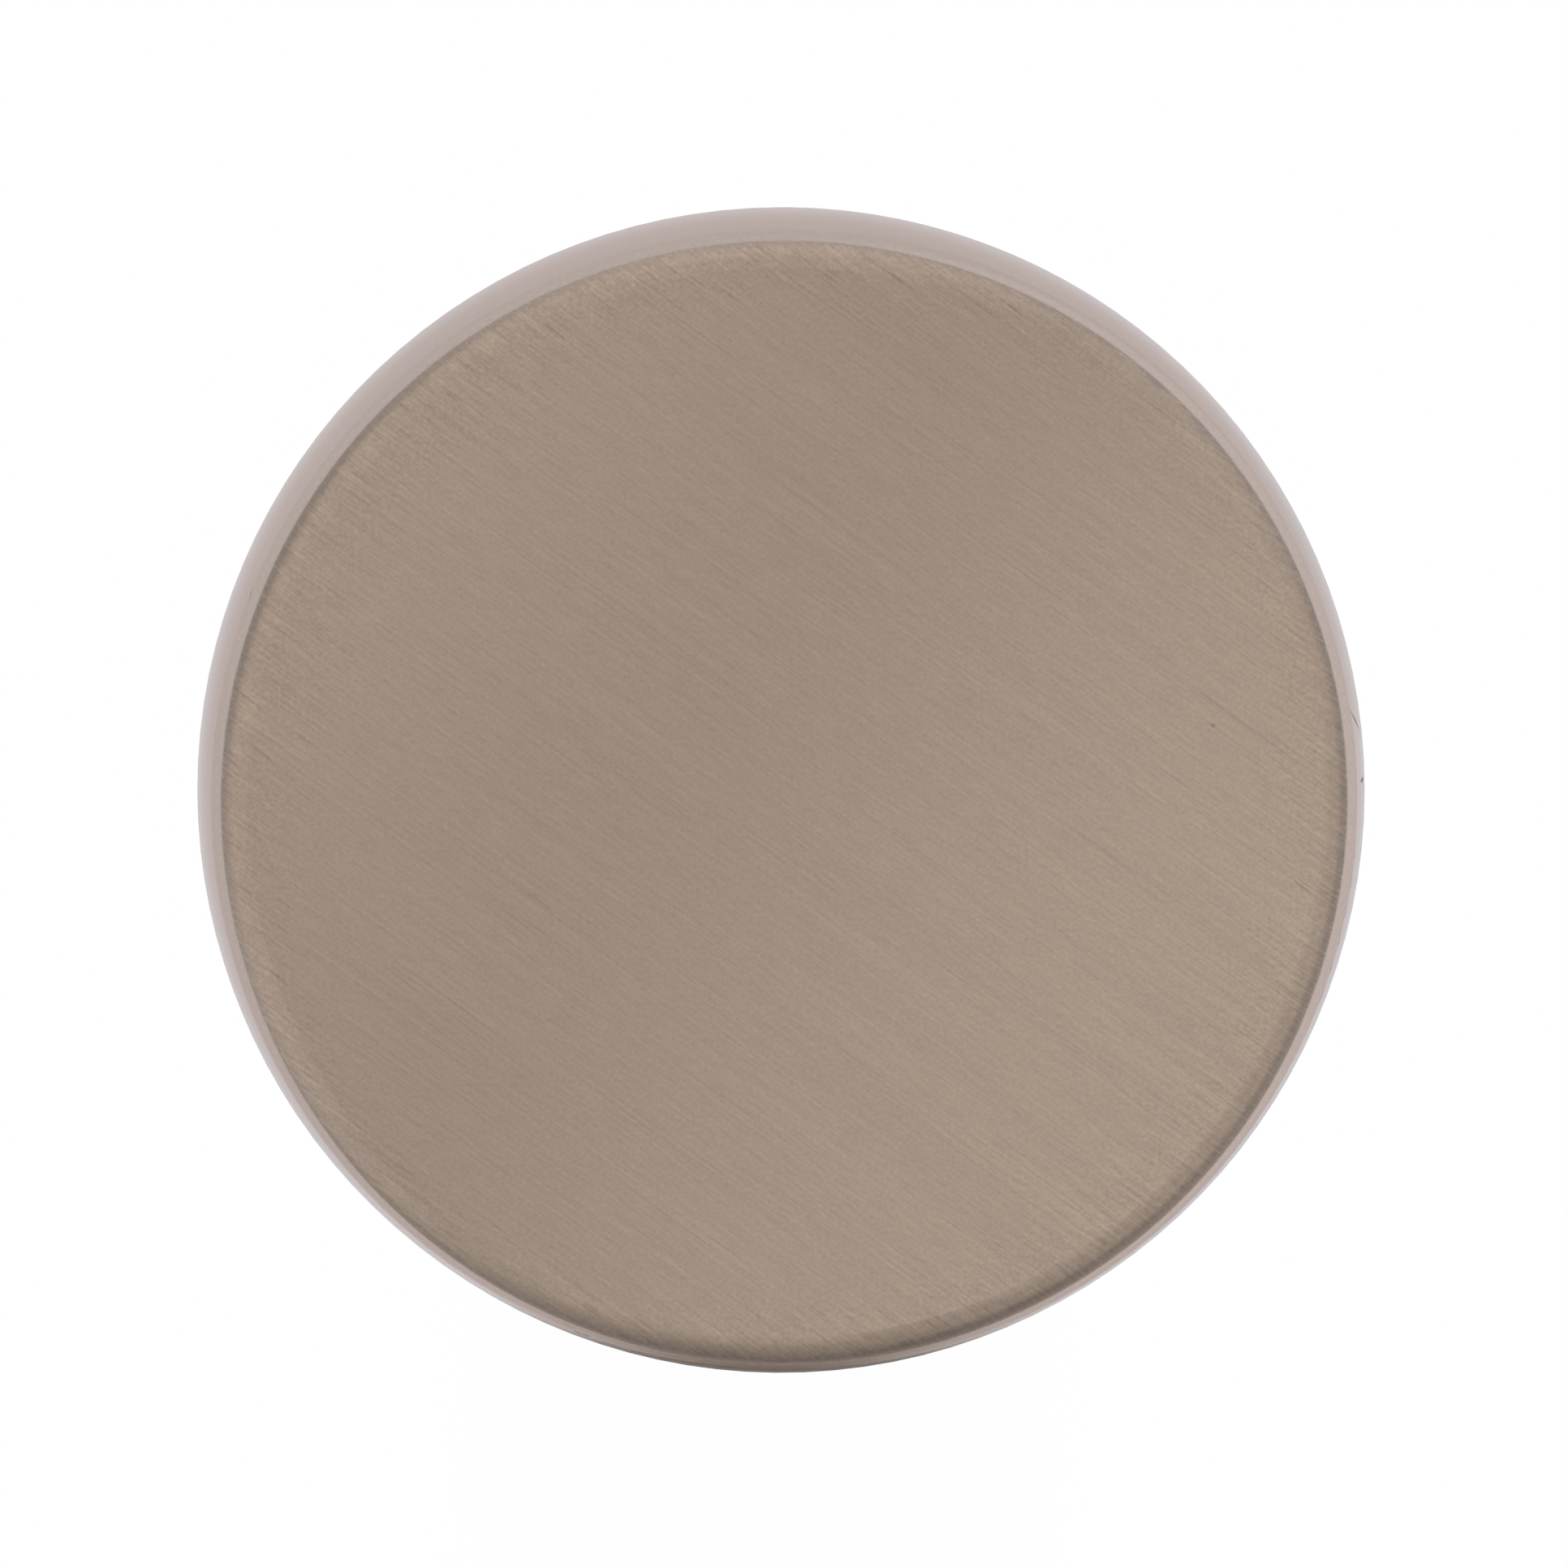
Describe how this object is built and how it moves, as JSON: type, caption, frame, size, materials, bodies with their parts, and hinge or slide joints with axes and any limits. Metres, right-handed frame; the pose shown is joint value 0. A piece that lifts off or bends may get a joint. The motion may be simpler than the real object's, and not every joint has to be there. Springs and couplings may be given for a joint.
{
  "type": "cabinet knob",
  "caption": "Round flat-faced cabinet knob in brushed satin nickel, with a soft edge, a tapered neck and a tapped hole in its base for a door screw.",
  "frame": {"origin": "middle of the seat, where the base meets the door", "axes": "+Z along the knob's axis, from the door towards the hand; +Y is the top of the picture"},
  "size_m": [0.0318, 0.0318, 0.0254],
  "materials": {
    "satin_nickel": "warm grey satin nickel plate, brushed in one direction across the face"
  },
  "bodies": {
    "root": {"knob": "satin_nickel"}
  },
  "joints": []
}
